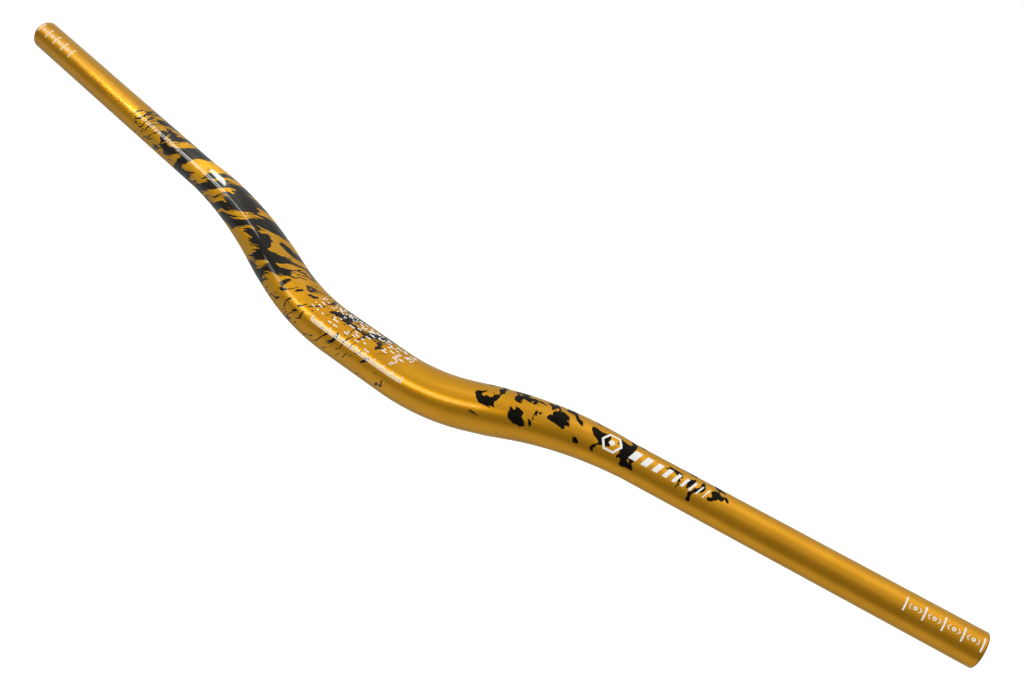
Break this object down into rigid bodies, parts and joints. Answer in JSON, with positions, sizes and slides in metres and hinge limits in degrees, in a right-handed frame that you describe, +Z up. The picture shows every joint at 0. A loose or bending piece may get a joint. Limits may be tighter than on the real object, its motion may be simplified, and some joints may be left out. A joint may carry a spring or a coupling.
{
  "type": "riser handlebar",
  "caption": "Riser handlebar for a mountain bicycle: one hollow aluminium tube, thick and straight at the stem, bent up, tapered and swept back to slim straight grips.",
  "frame": {"origin": "centre of the stem clamp zone, on the tube's axis", "axes": "+X along the clamp zone to the rider's right, +Y back towards the rider, +Z up"},
  "size_m": [0.7832, 0.0609, 0.0814],
  "materials": {
    "anodised_aluminium": "gold anodised, satin, with printed stripes under clear lacquer inboard of the grips"
  },
  "bodies": {
    "root": {"handlebar": "anodised_aluminium"}
  },
  "joints": []
}
